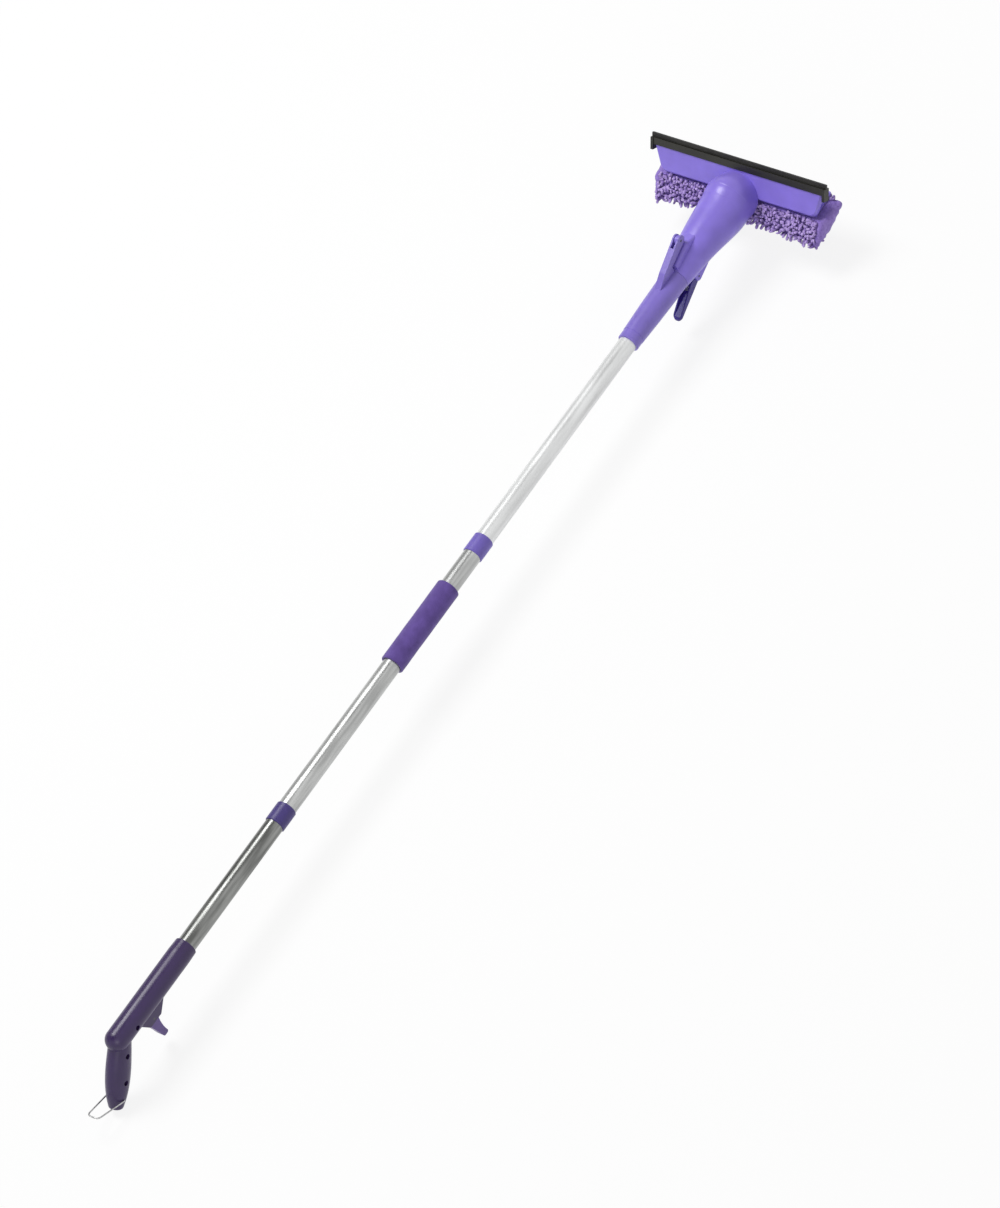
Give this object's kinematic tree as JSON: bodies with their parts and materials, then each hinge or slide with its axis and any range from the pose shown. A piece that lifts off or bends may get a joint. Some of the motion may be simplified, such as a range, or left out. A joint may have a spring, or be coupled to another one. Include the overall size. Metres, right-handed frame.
{
  "type": "window scrubber",
  "caption": "Window scrubber: pistol handle with trigger, screw-jointed tube pole with foam grip, folding head with squeegee blade and chenille pad.",
  "frame": {"origin": "under the middle of the whole tool, at the height of its lowest point", "axes": "+X along the blade, +Y along the pole towards the head, +Z to the back of the tool, away from the trigger"},
  "size_m": [0.2538, 1.3928, 0.1203],
  "materials": {
    "tube_metal": "satin, drawn tube",
    "dark_purple_plastic": "moulded, semi-gloss",
    "mid_purple_plastic": "moulded, semi-gloss",
    "purple_plastic": "moulded, semi-gloss",
    "black_plastic": "extruded, matt",
    "black_rubber": "smooth, matt",
    "purple_foam": "closed-cell foam, matt",
    "sponge": "open-cell sponge",
    "chenille": "chenille pile",
    "steel": "zinc plated",
    "wire_steel": "bright wire",
    "inner_plastic": "moulded, matt"
  },
  "bodies": {
    "pole": {"lower_tube": "tube_metal", "middle_tube": "tube_metal", "upper_tube": "tube_metal", "lower_coupler_socket": "mid_purple_plastic", "upper_coupler_socket": "mid_purple_plastic", "lower_coupler_stud": "inner_plastic", "upper_coupler_stud": "inner_plastic", "foam_grip": "purple_foam", "handle_shell_left": "dark_purple_plastic", "handle_shell_right": "dark_purple_plastic", "handle_screws": "steel", "trigger_pin": "steel", "tube_plug": "inner_plastic", "gate_spring": "steel", "pole_connector": "purple_plastic", "connector_rivet": "steel", "hinge_pin": "steel"},
    "trigger": {"trigger": "dark_purple_plastic"},
    "gate": {"release_gate": "steel"},
    "loop": {"hang_loop": "wire_steel"},
    "head": {"head_upper_shell": "purple_plastic", "head_lower_shell": "purple_plastic", "head_screws": "steel", "latch_pin": "steel", "latch_spring": "steel", "pad_frame": "purple_plastic", "frame_screws": "steel", "sponge_core": "sponge", "scrub_cover": "chenille", "rubber_channel": "black_plastic", "channel_cap_left": "black_plastic", "channel_cap_right": "black_plastic", "squeegee_rubber": "black_rubber"},
    "latch": {"latch_lever": "purple_plastic"}
  },
  "joints": [
    {"name": "trigger_pull", "type": "hinge", "parent": "pole", "child": "trigger", "pos_m": [0, -0.57013, 0.05127], "axis": [-1, 0, 0], "range_deg": [0, 8]},
    {"name": "gate_slide", "type": "slide", "parent": "pole", "child": "gate", "axis": [0, 0, -1], "range_m": [0, 0.00167], "stiffness_N_per_m": 590, "springref_m": -0.001, "deforming": ["gate_spring"]},
    {"name": "loop_swing", "type": "hinge", "parent": "pole", "child": "loop", "pos_m": [0, -0.65732, 0.01439], "axis": [1, 0, 0], "range_deg": [-15, 150]},
    {"name": "head_fold", "type": "hinge", "parent": "pole", "child": "head", "pos_m": [0, 0.54807, 0.11377], "axis": [1, 0, 0], "range_deg": [0, 90]},
    {"name": "latch_press", "type": "hinge", "parent": "head", "child": "latch", "pos_m": [0, 0.54836, 0.05177], "axis": [-1, 0, 0], "range_deg": [0, 12], "stiffness_Nm_per_rad": 0.068, "springref_deg": -8.59, "deforming": ["latch_spring"]}
  ],
  "couplings": [
    {"joint": "trigger_pull", "follows": "gate_slide", "rad_per_m": 83.333}
  ]
}
